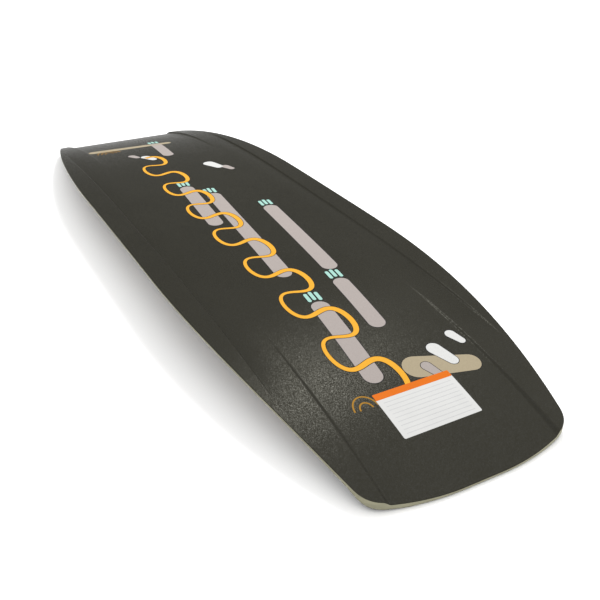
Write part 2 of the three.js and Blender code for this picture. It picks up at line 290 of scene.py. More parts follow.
def quarter_outline():
    """Middle of the near tip to the middle of the right rail."""
    s = sizes()
    y = 0.7 * s.half_width
    for _ in range(60):
        y = (y + side_width(tip_end(y))) / 2
    corner = Vector((tip_end(y), y))
    reach = s.corner_reach
    start = Vector((tip_end(y - reach), y - reach))
    stop = Vector((corner.x - reach, side_width(corner.x - reach)))
    points = [(tip_end(t * start.y), t * start.y) for t in np.linspace(0, 1, 26)[:-1]]
    for t in np.linspace(0, 1, 19):
        p = start * (1 - t) ** 2 + corner * 2 * t * (1 - t) + stop * t * t
        points.append((p.x, p.y))
    xs = list(np.linspace(stop.x, 0, 91)[1:])
    split = wall_split()
    xs = [x for x in xs if abs(x - split) > 1.5 * MM] + [split - 0.1 * MM, split + 0.1 * MM]
    points += [(x, side_width(x)) for x in sorted(xs, reverse=True)]
    return points


def full_outline():
    """Whole outline, anticlockwise seen from the base side, starting at the near tip."""
    q = quarter_outline()
    inner = q[1:-1]
    return (q + [(-x, y) for x, y in reversed(inner)] + [(-q[0][0], 0.0)]
            + [(-x, -y) for x, y in inner] + [(0.0, -q[-1][1])]
            + [(x, -y) for x, y in reversed(inner)])


def inward_normals(points):
    p = np.array(points)
    run = np.roll(p, -1, axis=0) - np.roll(p, 1, axis=0)
    run /= np.linalg.norm(run, axis=1)[:, None]
    return np.stack([-run[:, 1], run[:, 0]], axis=1)


def bevel_height(x):
    """Along a rail the bevel leaves a lip of constant height; round a tip it is a small one."""
    k = skins()
    top = base_high.z - sizes().rocker + rocker_height(x)
    wall_height = top - deck_height(x) - k.base_sheet - k.film_step - k.glue
    end = sizes().half_length - k.tip_bevel_length
    return mix(wall_height - k.rail_lip, k.tip_bevel, ease(end - k.bevel_fade, end, abs(x)))


def bevel_inset(x):
    return skins().bevel_run * bevel_height(x)


# ---- mesh making ----------------------------------------------------------------------------

def new_piece(name, vertices, faces, look, slot, smooth_below=32):
    """Makes a mesh object with softened shading and puts it on the board's body."""
    mesh = bpy.data.meshes.new(name)
    mesh.from_pydata([tuple(v) for v in vertices], [], faces)
    mesh.validate()
    mesh.update()
    mesh.shade_smooth()
    mesh.set_sharp_from_angle(angle=math.radians(smooth_below))
    mesh.materials.append(look)
    piece = bpy.data.objects.new(name, mesh)
    bpy.context.scene.collection.objects.link(piece)
    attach(piece, "root")
    return piece


def inside(points, polygon):
    """Which points lie inside a polygon."""
    p = np.asarray(points)
    q = np.asarray(polygon)
    found = np.zeros(len(p), bool)
    x1, y1 = q[:, 0], q[:, 1]
    x2, y2 = np.roll(x1, -1), np.roll(y1, -1)
    for a, b, c, d in zip(x1, y1, x2, y2):
        if b == d:
            continue
        crosses = ((b > p[:, 1]) != (d > p[:, 1]))
        found ^= crosses & (p[:, 0] < (c - a) * (p[:, 1] - b) / (d - b) + a)
    return found


def near_edge(points, polygon, gap):
    """Which points lie closer than gap to a polygon's edge."""
    p = np.asarray(points)
    q = np.asarray(polygon)
    r = np.roll(q, -1, axis=0)
    close = np.zeros(len(p), bool)
    for a, b in zip(q, r):
        run = b - a
        t = np.clip(((p - a) @ run) / max(run @ run, 1e-18), 0, 1)
        close |= np.linalg.norm(p - (a + t[:, None] * run), axis=1) < gap
    return close


def ring(centre, radius, count):
    return [(centre[0] + radius * math.cos(2 * math.pi * k / count),
             centre[1] + radius * math.sin(2 * math.pi * k / count)) for k in range(count)]


def plan_mesh(boundary, xs, ys, holes=(), gap=1.2 * MM):
    """Fills an outline in plan with well-shaped triangles. Returns points and triangles."""
    grid = np.array([(x, y) for x in xs for y in ys]).reshape(-1, 2)
    keep = inside(grid, boundary) & ~near_edge(grid, boundary, gap)
    rings = [ring((cx, cy), r, 32) for cx, cy, r in holes]
    for (cx, cy, r) in holes:
        keep &= np.hypot(grid[:, 0] - cx, grid[:, 1] - cy) > r + gap
    points = [Vector(p) for p in boundary]
    edges = []
    faces = [list(range(len(points)))]
    for loop in rings:
        start = len(points)
        points += [Vector(p) for p in loop]
        n = len(loop)
        edges += [(start + i, start + (i + 1) % n) for i in range(n)]
    points += [Vector(p) for p in grid[keep]]
    out, _, triangles, *_ = delaunay_2d_cdt(points, edges, faces, 1, 1e-7)
    kept = []
    for t in triangles:
        m = sum((out[i] for i in t), Vector((0, 0))) / len(t)
        if any(math.hypot(m.x - cx, m.y - cy) < 0.98 * r for cx, cy, r in holes):
            continue
        kept.append(list(t))
    return [(p.x, p.y) for p in out], kept


def plate(plan, top_at, under_at):
    """A closed plate between two heights over a filled plan."""
    points, triangles = plan
    used = sorted({i for t in triangles for i in t})
    index = {old: new for new, old in enumerate(used)}
    n = len(used)
    vertices = [(*points[i], top_at(*points[i])) for i in used]
    vertices += [(*points[i], under_at(*points[i])) for i in used]
    faces = []
    sides = {}
    for t in triangles:
        a, b, c = (index[i] for i in t)
        faces.append((a, b, c))
        faces.append((n + a, n + c, n + b))
        for e in ((a, b), (b, c), (c, a)):
            sides[e] = True
    for a, b in sides:
        if (b, a) not in sides:
            faces.append((b, a, n + a, n + b))
    return vertices, faces


def lines_across():
    """Lines across the board, closer together where the base bends."""
    half = sizes().half_width
    lines = list(np.arange(0, half, 9 * MM))
    for centre, reach, step in ((channel_line(), 6 * MM, 0.9 * MM), (chine_line(), 3 * MM, 0.7 * MM)):
        lines = [y for y in lines if abs(y - centre) > reach + 1.5 * MM]
        lines += list(np.arange(centre - reach, centre + reach + 0.1 * MM, step))
    lines += [chine_line() - d * MM for d in (6, 9, 13, 17.5, 22, 27, 32, 37)]
    lines = sorted(set(round(y, 5) for y in lines))
    return [-y for y in reversed(lines) if y > 0] + lines


def stations(step):
    reach = sizes().half_length
    return list(np.arange(-reach + step / 2, reach, step))


# ---- procedural finishes --------------------------------------------------------------------

class Nodes:
    """Short calls that add and link shader nodes."""

    def __init__(self, name):
        self.material = bpy.data.materials.new(name)
        self.material.use_nodes = True
        self.tree = self.material.node_tree
        self.shader = self.tree.nodes["Principled BSDF"]
        self.place = self.tree.nodes.new("ShaderNodeTexCoord").outputs["Object"]

    def link(self, source, target):
        self.tree.links.new(source, target)

    def set(self, **values):
        for key, value in values.items():
            socket = self.shader.inputs[key.replace("_", " ")]
            socket.default_value = value
        return self

    def stretched(self, scale):
        node = self.tree.nodes.new("ShaderNodeMapping")
        node.inputs["Scale"].default_value = scale
        self.link(self.place, node.inputs["Vector"])
        return node.outputs["Vector"]

    def noise(self, scale, detail=2.0, roughness=0.5, place=None):
        node = self.tree.nodes.new("ShaderNodeTexNoise")
        node.inputs["Scale"].default_value = scale
        node.inputs["Detail"].default_value = detail
        node.inputs["Roughness"].default_value = roughness
        self.link(place or self.place, node.inputs["Vector"])
        return node.outputs["Fac"]

    def wave(self, scale, direction, distortion=0.0, detail_scale=1.0, place=None):
        node = self.tree.nodes.new("ShaderNodeTexWave")
        node.bands_direction = direction
        node.inputs["Scale"].default_value = scale
        node.inputs["Distortion"].default_value = distortion
        node.inputs["Detail Scale"].default_value = detail_scale
        self.link(place or self.place, node.inputs["Vector"])
        return node.outputs["Fac"]

    def remap(self, value, low, high, new_low, new_high):
        node = self.tree.nodes.new("ShaderNodeMapRange")
        for key, number in (("From Min", low), ("From Max", high),
                            ("To Min", new_low), ("To Max", new_high)):
            node.inputs[key].default_value = number
        self.link(value, node.inputs["Value"])
        return node.outputs["Result"]

    def blend(self, factor, first, second):
        node = self.tree.nodes.new("ShaderNodeMix")
        node.data_type = "RGBA"
        self.link(factor, node.inputs["Factor"])
        for socket, value in ((node.inputs[6], first), (node.inputs[7], second)):
            if hasattr(value, "links"):
                self.link(value, socket)
            else:
                socket.default_value = (*value, 1)
        return node.outputs[2]

    def add(self, first, second):
        node = self.tree.nodes.new("ShaderNodeMath")
        node.operation = "ADD"
        self.link(first, node.inputs[0])
        self.link(second, node.inputs[1])
        return node.outputs[0]

    def bump(self, height, depth, strength=1.0):
        node = self.tree.nodes.new("ShaderNodeBump")
        node.inputs["Distance"].default_value = depth
        node.inputs["Strength"].default_value = strength
        self.link(height, node.inputs["Height"])
        self.link(node.outputs["Normal"], self.shader.inputs["Normal"])
        return self

    def colour(self, source):
        self.link(source, self.shader.inputs["Base Color"])
        return self

    def rough(self, source):
        self.link(source, self.shader.inputs["Roughness"])
        return self


def shade(rgb, factor):
    return tuple(min(1.0, c * factor) for c in rgb)


def sintered_base():
    """Dull dark base plastic with sparse bright flakes that catch a lamp."""
    f = finishes()
    n = Nodes("sintered_base")
    grain = n.noise(900, 2, 0.5)
    tone = n.blend(n.remap(grain, 0.42, 0.70, 0, 1), tuple(f.base), tuple(f.base_light))
    tone = n.blend(n.remap(n.noise(7, 2), 0.3, 0.7, 0.0, 0.5), tone, shade(f.base, 0.9))
    flakes = n.remap(n.noise(1050, 0), 0.50, 0.66, 0, 0.58)
    n.colour(n.blend(flakes, tone, tuple(f.flake)))
    n.link(flakes, n.shader.inputs["Metallic"])
    n.rough(n.remap(n.noise(700, 2), 0.3, 0.7, 0.23, 0.31))
    n.set(Specular_IOR_Level=0.003, Specular_Tint=(0.3, 0.3, 0.3, 1))
    return n.bump(n.noise(850, 1), 0.13 * MM, 1.0).material


def cast_wall():
    """Olive cast plastic of the rails, with faint pour streaks along the board."""
    f = finishes()
    n = Nodes("cast_side_wall")
    streak = n.noise(60, 3, 0.6, n.stretched((0.25, 1, 6)))
    tone = n.blend(n.remap(streak, 0.35, 0.65, 0, 1), shade(f.side_wall, 0.90), shade(f.side_wall, 1.08))
    n.colour(tone)
    n.rough(n.remap(n.noise(300, 2), 0.3, 0.7, 0.42, 0.58))
    return n.bump(n.noise(900, 2), 0.05 * MM, 0.6).material


def deck_film():
    """Satin printed film with the weave of the laminate just showing through."""
    f = finishes()
    n = Nodes("deck_film")
    cloud = n.noise(9, 3)
    n.colour(n.blend(n.remap(cloud, 0.3, 0.7, 0, 1), shade(f.deck, 0.85), shade(f.deck, 1.25)))
    weave = n.add(n.wave(110, "X", 0.4), n.wave(110, "Y", 0.4))
    n.rough(n.remap(n.noise(180, 2), 0.3, 0.7, 0.30, 0.42))
    return n.bump(n.add(weave, n.noise(800, 2)), 0.04 * MM, 0.5).material


def glass_laminate():
    """Glass cloth in resin."""
    n = Nodes("glass_laminate")
    weave = n.add(n.wave(150, "X", 1.0), n.wave(150, "Y", 1.0))
    n.colour(n.blend(n.remap(weave, 0.3, 1.7, 0, 1), (0.42, 0.42, 0.27), (0.70, 0.69, 0.50)))
    n.rough(n.remap(n.noise(90, 2), 0.3, 0.7, 0.22, 0.40))
    return n.bump(weave, 0.08 * MM, 0.7).material


def sawn_wood(name, pale, dark, rings):
    """Straight-grained wood, grain along the board."""
    n = Nodes(name)
    place = n.stretched((0.12, 1, 1))
    growth = n.wave(rings, "Y", 3.0, 1.5, place)
    fibre = n.noise(900, 3, 0.6, n.stretched((0.03, 1, 1)))
    tone = n.blend(n.remap(growth, 0.2, 0.9, 0, 1), pale, dark)
    n.colour(n.blend(n.remap(fibre, 0.45, 0.75, 0, 0.6), tone, shade(dark, 0.8)))
    n.rough(n.remap(fibre, 0.3, 0.7, 0.6, 0.8))
    return n.bump(fibre, 0.10 * MM, 0.6).material


def turned_steel():
    """Stainless steel with fine turning marks."""
    n = Nodes("turned_steel")
    marks = n.noise(1500, 2, 0.6, n.stretched((1, 1, 4)))
    n.colour(n.blend(n.remap(marks, 0.3, 0.7, 0, 1), (0.46, 0.46, 0.47), (0.62, 0.62, 0.63)))
    n.set(Metallic=1.0)
    n.rough(n.remap(marks, 0.3, 0.7, 0.22, 0.38))
    return n.bump(marks, 0.03 * MM, 0.6).material


def printed_ink(name, rgb, roughness=0.5):
    """Ink of the graphic, lying in the base's grain."""
    n = Nodes(name)
    grain = n.noise(520, 3, 0.6)
    n.colour(n.blend(n.remap(grain, 0.3, 0.7, 0, 1), shade(rgb, 0.93), shade(rgb, 1.05)))
    n.rough(n.remap(n.noise(700, 2), 0.3, 0.7, roughness - 0.08, roughness + 0.08))
    n.set(Specular_IOR_Level=0.01)
    return n.bump(grain, 0.15 * MM, 0.5).material


def vinyl(name, rgb):
    """Thin printed vinyl of the sticker."""
    n = Nodes(name)
    n.colour(n.blend(n.remap(n.noise(40, 2), 0.3, 0.7, 0, 1), shade(rgb, 0.97), shade(rgb, 1.0)))
    n.rough(n.remap(n.noise(400, 2), 0.3, 0.7, 0.38, 0.5))
    n.set(Specular_IOR_Level=0.04)
    return n.bump(n.noise(250, 2), 0.03 * MM, 0.4).material


LOOKS = {}


def look(name, maker, *values):
    """Each finish is made once."""
    if name not in LOOKS:
        LOOKS[name] = maker(*values)
    return LOOKS[name]


def ink(name):
    return look(f"ink_{name}", printed_ink, f"ink_{name}", tuple(getattr(finishes(), name)))


# ---- base graphic: plain shapes in plan, laid on the base -----------------------------------

LIFT = 0.04 * MM  # height of one level of print above the skin
SUNK = 0.04 * MM  # depth of the print's back inside the skin
BORDER = 0.9 * MM  # width of the dark border round a shape


def tapered(centre, reach, wide, narrow, angle, count=12):
    """Outline of a bar with round ends of two sizes, turned by an angle in degrees."""
    cx, cy = centre
    points = []
    for end, radius, start in ((1, narrow, -90), (-1, wide, 90)):
        for k in range(count + 1):
            a = math.radians(start + 180 * k / count)
            points.append((end * reach + radius * math.cos(a), radius * math.sin(a)))
    c, s = math.cos(math.radians(angle)), math.sin(math.radians(angle))
    return [(cx + c * x - s * y, cy + s * x + c * y) for x, y in points]


def capsule(centre, reach, radius, angle):
    """Outline of a rounded bar: half its straight length, its radius and its turn in degrees."""
    return tapered(centre, reach, radius, radius, angle, 14)


def divided(outline, step=7 * MM):
    """The same outline with its long edges divided, so that it can follow the board."""
    points = []
    for (x0, y0), (x1, y1) in zip(outline, outline[1:] + outline[:1]):
        parts = max(1, math.ceil(math.hypot(x1 - x0, y1 - y0) / step))
        points += [(mix(x0, x1, k / parts), mix(y0, y1, k / parts)) for k in range(parts)]
    return points


def grown(outline, by):
    normals = inward_normals(outline)
    return [(x - by * nx, y - by * ny) for (x, y), (nx, ny) in zip(outline, normals)]


def inlay_mesh(outline, level, height_at, sign=1):
    """A thin plate following the base, or the deck when sign is -1."""
    outline = divided(outline)
    low = np.min(outline, axis=0)
    high = np.max(outline, axis=0)
    step = 7 * MM
    xs = np.arange(low[0] + step / 2, high[0], step)
    ys = np.arange(low[1] + step / 2, high[1], step)
    plan = plan_mesh(outline, xs, ys, gap=1.0 * MM)
    over = LIFT * level
    if sign > 0:
        return plate(plan, lambda x, y: height_at(x, y) + over, lambda x, y: height_at(x, y) - SUNK)
    return plate(plan, lambda x, y: height_at(x, y) + SUNK, lambda x, y: height_at(x, y) - over)


def join_meshes(parts):
    vertices, faces = [], []
    for part_vertices, part_faces in parts:
        start = len(vertices)
        vertices += part_vertices
        faces += [tuple(start + i for i in face) for face in part_faces]
    return vertices, faces


def band_edges(line, widths):
    """The two edges of a band of changing width along a line."""
    p = np.array(line)
    run = np.gradient(p, axis=0)
    run /= np.linalg.norm(run, axis=1)[:, None]
    normal = np.stack([-run[:, 1], run[:, 0]], axis=1)
    half = np.array(widths)[:, None] / 2
    return p + half * normal, p - half * normal


def band_mesh(line, widths, level, height_at, sign=1):
    """A thin band laid along a line on the base or the deck."""
    left, right = band_edges(line, widths)
    outer = sign * LIFT * level
    inner = -sign * SUNK
    vertices, faces = [], []
    for a, b in zip(left, right):
        m = (a + b) / 2
        for p in (a, m, b):
            vertices.append((*p, height_at(*p) + outer))
        for p in (a, m, b):
            vertices.append((*p, height_at(*p) + inner))
    count = len(left)
    loop = (0, 1, 2, 5, 4, 3)
    for i in range(count - 1):
        for k in range(6):
            a, b = loop[k], loop[(k + 1) % 6]
            face = (6 * i + a, 6 * i + b, 6 * i + 6 + b, 6 * i + 6 + a)
            faces.append(face if sign > 0 else face[::-1])
    for i, flip in ((0, True), (count - 1, False)):
        for quad in ((0, 1, 4, 3), (1, 2, 5, 4)):
            face = tuple(6 * i + k for k in quad)
            faces.append(face[::-1] if flip == (sign > 0) else face)
    return vertices, faces


def meander():
    """Centre line and widths of the ribbon: even waves that drift towards the near tip."""
    line, widths = [], []
    for t in np.linspace(0, 1, 420):
        x = mix(-375 * MM, 566 * MM, t)
        swing = mix(30 * MM, 36 * MM, t)
        waves = 2 * math.pi * (7.5 * t)
        line.append((x - 16 * MM * math.sin(2 * waves), -36 * MM + swing * math.sin(waves)))
        widths.append(mix(5.5 * MM, 9.5 * MM, 0.5 + 0.5 * math.sin(waves + 0.8)))
    return line, widths


# ---- operators ------------------------------------------------------------------------------

class WAKEBOARD_OT_base(bpy.types.Operator):
    """Build the smooth base sheet with its tip channels and chines"""
    bl_idname = "wakeboard.base"
    bl_label = "Base sheet"

    def execute(self, context):
        thickness = skins().base_sheet
        plan = plan_mesh(full_outline(), stations(7 * MM), lines_across())
        vertices, faces = plate(plan, base_height, lambda x, y: base_height(x, y) - thickness)
        piece = new_piece("running_base", vertices, faces, look("base", sintered_base), "base_plastic")
        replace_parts(piece, "base_sheet")
        return {"FINISHED"}


SEAM = 0.02 * MM  # clearance between a side wall and the skins above and below it


def wall_section(point, normal):
    """Closed section of the side wall at one outline point, as points in space."""
    k = skins()
    x = point[0]
    foot = deck_height(x, point[1]) + k.film
    rise = bevel_height(x) + k.film_step - k.film
    e = k.edge_ease
    lip = foot + rise
    soft = min(1.6 * MM, 0.35 * rise)
    run = bevel_inset(x) / rise

    def inward(d):
        return x + d * normal[0], point[1] + d * normal[1]

    def top(d):
        return base_height(*inward(d)) - k.base_sheet - SEAM

    def bottom(d):
        return deck_height(*inward(d)) + k.film + SEAM

    # The bevel runs down to where it meets the film, which rises inward at a tip.
    meet, past = 0.0, run * rise
    for _ in range(24):  # halvings
        d = (meet + past) / 2
        meet, past = (d, past) if lip - d / run > bottom(d) else (meet, d)

    section = [(0.5 * e, top(0)), (0.0, top(0) - e), (0.0, lip + soft)]
    section += [(soft * run * t * t, lip + soft * ((1 - t) ** 2 - t * t)) for t in (0.35, 0.7, 1.0)]
    section += [(meet - 0.5 * e * run, lip - meet / run + 0.5 * e)]
    section += [(d, bottom(d)) for d in (meet, (meet + k.wall) / 2, k.wall)]
    section += [(k.wall, top(k.wall)), (0.5 * k.wall, top(0.5 * k.wall)), (3 * MM, top(3 * MM))]
    return [(*inward(d), z) for d, z in section]


def wall_piece(name, chosen):
    """Sweeps the side wall's section along part of the outline."""
    sections = [wall_section(p, n) for p, n in chosen]
    size = len(sections[0])
    vertices = [v for section in sections for v in section]
    faces = []
    for i in range(len(sections) - 1):
        for a in range(size):
            b = (a + 1) % size
            faces.append((size * i + b, size * i + a, size * i + size + a, size * i + size + b))
    faces.append(tuple(range(size)))
    faces.append(tuple(size * (len(sections) - 1) + a for a in reversed(range(size))))
    return new_piece(name, vertices, faces, look("wall", cast_wall), "side_wall", 40)


class WAKEBOARD_OT_side_walls(bpy.types.Operator):
    """Build the two rails and the two tip walls"""
    bl_idname = "wakeboard.side_walls"
    bl_label = "Side walls"

    def execute(self, context):
        outline = full_outline()
        pairs = list(zip(outline, inward_normals(outline)))
        split = wall_split()
        rails = {
            "side_wall_right": [p for p in pairs if abs(p[0][0]) < split and p[0][1] > 0],
            "side_wall_left": [p for p in pairs if abs(p[0][0]) < split and p[0][1] < 0],
        }
        nodes = {f"side_wall_{side}": [f"rail_{side}_{place}" for place in ("far", "middle", "near")]
                 for side in ("left", "right")}
        start = next(i for i, p in enumerate(pairs) if p[0][0] < split)
        turned = pairs[start:] + pairs[:start]
        rails["tip_side_wall_near"] = [p for p in turned if p[0][0] > split]
        rails["tip_side_wall_far"] = [p for p in pairs if p[0][0] < -split]
        for name, chosen in rails.items():
            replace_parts(wall_piece(name, chosen), *nodes.get(name, [name.replace("_side", "")]))
        return {"FINISHED"}


def insert_places():
    """Middle of each insert's mouth on the deck, with the end of the board it is at."""
    count = insert_sizes().per_row
    row = abs(insert_low.y + insert_high.y) / 2
    first, last = (insert_low.x + insert_high.x) / 2, (last_low.x + last_high.x) / 2
    places = {}
    for end, end_name in ((1, "near"), (-1, "far")):
        for side, side_name in ((-1, "left"), (1, "right")):
            for k in range(count):
                x = mix(first, last, k / (count - 1))
                places[f"{end_name}_{side_name}_{k + 1}"] = (end * x, side * row, end)
    return places


def pad_tilt():
    start, end = PAD_CENTRE - PAD_HALF, PAD_CENTRE + PAD_HALF
    return math.atan2(deck_curve(end) - deck_curve(start), end - start)


class WAKEBOARD_OT_deck(bpy.types.Operator):
    """Build the deck film with a hole over every insert"""
    bl_idname = "wakeboard.deck"
    bl_label = "Deck film"

    def execute(self, context):
        outline = full_outline()
        normals = inward_normals(outline)
        edge = [(x + bevel_inset(x) * n[0], y + bevel_inset(x) * n[1])
                for (x, y), n in zip(outline, normals)]
        tilt = math.tan(pad_tilt())
        depth = insert_sizes().depth / 2
        holes = [(x + end * tilt * depth, y, insert_sizes().hole / 2)
                 for x, y, end in insert_places().values()]
        step = 14 * MM
        ys = [k * step for k in range(-15, 16)]
        plan = plan_mesh(edge, stations(9 * MM), ys, holes)
        film = skins().film
        vertices, faces = plate(plan, lambda x, y: deck_height(x, y) + film, deck_height)
        piece = new_piece("deck_top_film", vertices, faces, look("deck", deck_film), "top_sheet")
        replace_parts(piece, "top_sheet")
        return {"FINISHED"}


def insert_profile():
    """Radius and depth along the insert's surface, from the bore's floor round to the back."""
    s = insert_sizes()
    back = s.depth
    flange = back - s.flange_thickness
    floor = flange - 0.8 * MM
    crest, root = 0.43 * s.thread, 0.5 * s.thread
    mouth = 0.1 * MM
    points = [(0.0, floor), (crest, floor)]
    turns = int((floor - 1.4 * MM) / s.thread_pitch)
    for k in range(turns, 0, -1):
        z = 0.9 * MM + k * s.thread_pitch
        points += [(crest, z), (root, z - 0.5 * s.thread_pitch)]
    points += [(crest, 0.9 * MM), (root + 0.3 * MM, mouth + 0.1 * MM), (root + 0.45 * MM, mouth)]
    points += [(s.body / 2 - 0.3 * MM, mouth), (s.body / 2, mouth + 0.3 * MM), (s.body / 2, flange)]
    points += [(s.flange / 2 - 0.2 * MM, flange), (s.flange / 2, flange + 0.2 * MM)]
    points += [(s.flange / 2, back - 0.2 * MM), (s.flange / 2 - 0.2 * MM, back), (0.0, back)]
    return points


def turned_mesh(profile, count=40):
    """Turns a profile about Z; its first and last points are on the axis."""
    inner = profile[1:-1]
    vertices = [(0, 0, profile[0][1]), (0, 0, profile[-1][1])]
    for r, z in inner:
        vertices += [(*p, z) for p in ring((0, 0), r, count)]
    faces = []
    for k in range(count):
        m = (k + 1) % count
        faces.append((0, 2 + m, 2 + k))
        last = 2 + (len(inner) - 1) * count
        faces.append((1, last + k, last + m))
        for i in range(len(inner) - 1):
            a, b = 2 + i * count, 2 + (i + 1) * count
            faces.append((a + k, a + m, b + m, b + k))
    return vertices, [face[::-1] for face in faces]


class WAKEBOARD_OT_inserts(bpy.types.Operator):
    """Build the threaded inserts, each square to the flat part of the deck"""
    bl_idname = "wakeboard.inserts"
    bl_label = "Threaded inserts"

    def execute(self, context):
        vertices, faces = turned_mesh(insert_profile())
        steel = look("steel", turned_steel)
        half = insert_sizes().depth / 2
        for name, (x, y, end) in insert_places().items():
            tilt = Matrix.Rotation(-end * pad_tilt(), 4, "Y")
            middle = Vector((x, y, 0))
            foot = middle - tilt @ Vector((0, 0, half))
            foot.z = deck_height(foot.x)
            placed = Matrix.Translation(foot) @ tilt
            moved = [placed @ Vector(v) for v in vertices]
            piece = new_piece(f"threaded_insert_{name}", moved, faces, steel, "insert_metal", 35)
            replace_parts(piece, f"insert_{name}")
        return {"FINISHED"}


class WAKEBOARD_OT_core(bpy.types.Operator):
    """Finish the laminates, core strips and insert blocks inside the board"""
    bl_idname = "wakeboard.core"
    bl_label = "Core and laminates"

    def execute(self, context):
        pale = look("core", sawn_wood, "core_wood_grain", (0.66, 0.49, 0.27), (0.50, 0.33, 0.15), 60)
        dense = look("block", sawn_wood, "block_wood_grain", (0.36, 0.19, 0.075), (0.22, 0.10, 0.035), 110)
        glass = look("glass", glass_laminate)
        for name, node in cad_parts.items():
            chosen = None
            if name.startswith("core_strip"):
                chosen = pale
            elif name.startswith("insert_block"):
                chosen = dense
            elif name.endswith("laminate"):
                chosen = glass
            if chosen:
                for slot in node.material_slots:
                    slot.material = chosen
        return {"FINISHED"}


def rounded_rectangle(x0, x1, y0, y1, radius, count=5):
    points = []
    for cx, cy, start in ((x1 - radius, y0 + radius, -90), (x1 - radius, y1 - radius, 0),
                          (x0 + radius, y1 - radius, 90), (x0 + radius, y0 + radius, 180)):
        for k in range(count + 1):
            a = math.radians(start + 90 * k / count)
            points.append((cx + radius * math.cos(a), cy + radius * math.sin(a)))
    return points


class WAKEBOARD_OT_sticker(bpy.types.Operator):
    """Build the plain sticker with its coloured band and ruled lines"""
    bl_idname = "wakeboard.sticker"
    bl_label = "Sticker"

    def execute(self, context):
        x0, x1 = sticker_low.x, sticker_high.x
        y0, y1 = sticker_low.y, sticker_high.y
        band = 10.5 * MM
        white = look("vinyl", vinyl, "sticker_vinyl", tuple(finishes().paper))
        sheet = inlay_mesh(rounded_rectangle(x0, x1, y0, y1, 2 * MM), 8, base_height)
        piece = new_piece("plain_sticker", *sheet, white, "sticker")
        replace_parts(piece, "sticker")
        orange = look("band", vinyl, "sticker_band_vinyl", tuple(finishes().band))
        strip = inlay_mesh(rounded_rectangle(x0, x0 + band, y0, y1, 1.2 * MM), 9, base_height)
        new_piece("sticker_band", *strip, orange, "sticker")
        grey = look("rule", vinyl, "sticker_rule_ink", (0.38, 0.38, 0.38))
        rules = []
        for k in range(9):
            x = x0 + band + (6 + 6.4 * k) * MM
            rules.append(inlay_mesh(rounded_rectangle(x, x + 0.9 * MM, y0 + 7 * MM, y1 - 7 * MM, 0.4 * MM),
                                    9, base_height))
        new_piece("sticker_rules", *join_meshes(rules), grey, "sticker")
        return {"FINISHED"}


class WAKEBOARD_OT_graphic(bpy.types.Operator):
    """Lay the plain abstract graphic on the base"""
    bl_idname = "wakeboard.graphic"
    bl_label = "Base graphic"

    # Places, lengths and radii in millimetres, turns in degrees.
    bar_turn = -5
    bars = ((-57, -37, 88, 13.5), (84, -12, 172, 13.5), (141, 60, 124, 13.5), (376, 34, 56, 13),
            (446, -31, 80, 14), (-436, 22, 58, 12))
    pebbles = ((-500, -30, 84, 13, 84), (545, 62, 38, 20, 74))
    white_stones = ((-252, 72, 15, 12, 20), (-372, -28, 14, 10, 20), (528, 74, 15, 11, 20),
                    (506, 112, 9, 8, 20))
    grey_stones = ((-222, 92, 10, 8, 20), (-402, -52, 10, 8, 20), (548, 42, 10, 8, 20))
    arcs = ((574, -76, 9), (574, -76, 17), (-470, -88, 9), (-470, -88, 17), (-470, -88, 25))

    def lay(self, name, colour_name, outlines, level):
        bordered = [inlay_mesh(grown(o, BORDER), level, base_height) for o in outlines]
        new_piece(f"{name}_border", *join_meshes(bordered), ink("ink"), "base_plastic")
        filled = [inlay_mesh(o, level + 1, base_height) for o in outlines]
        new_piece(name, *join_meshes(filled), ink(colour_name), "base_plastic")

    def bar_outlines(self):
        return [capsule((x * MM, y * MM), h * MM, r * MM, self.bar_turn) for x, y, h, r in self.bars]

    def stone_outlines(self, stones):
        return [tapered((x * MM, y * MM), h * MM, r * MM, 0.75 * r * MM, turn)
                for x, y, h, r, turn in stones]

    def pill_outlines(self):
        """Three short pills beyond the far end of each bar."""
        turn = math.radians(self.bar_turn)
        along, beside = Vector((math.cos(turn), math.sin(turn))), Vector((-math.sin(turn), math.cos(turn)))
        pills = []
        for x, y, half, radius in self.bars:
            end = Vector((x, y)) - along * (half + radius + 17)
            for k in (-1, 0, 1):
                centre = (end + beside * 8.5 * k + along * 3 * abs(k)) * MM
                pills.append(capsule(tuple(centre), 9 * MM, 2.9 * MM, self.bar_turn))
        return pills

    def arc_bands(self):
        bands = []
        for cx, cy, radius in self.arcs:
            angles = np.radians(np.linspace(95, 265, 40))
            line = [((cx + 1.3 * radius * math.cos(a)) * MM, (cy + radius * math.sin(a)) * MM)
                    for a in angles]
            bands.append(band_mesh(line, [2.2 * MM] * len(line), 2, base_height))
        return bands

    def execute(self, context):
        self.lay("graphic_long_stones", "khaki", self.stone_outlines(self.pebbles), 1)
        self.lay("graphic_bars", "bar", self.bar_outlines(), 1)
        self.lay("graphic_pills", "mint", self.pill_outlines(), 3)
        self.lay("graphic_white_stones", "paper", self.stone_outlines(self.white_stones), 3)
        self.lay("graphic_grey_stones", "bar", self.stone_outlines(self.grey_stones), 3)
        new_piece("graphic_arcs", *join_meshes(self.arc_bands()), ink("gold"), "base_plastic")
        line, widths = meander()
        border = [w + 2 * BORDER for w in widths]
        new_piece("graphic_ribbon_border", *band_mesh(line, border, 5, base_height),
                  ink("ink"), "base_plastic")
        new_piece("graphic_ribbon", *band_mesh(line, widths, 6, base_height),
                  ink("ribbon"), "base_plastic")
        return {"FINISHED"}


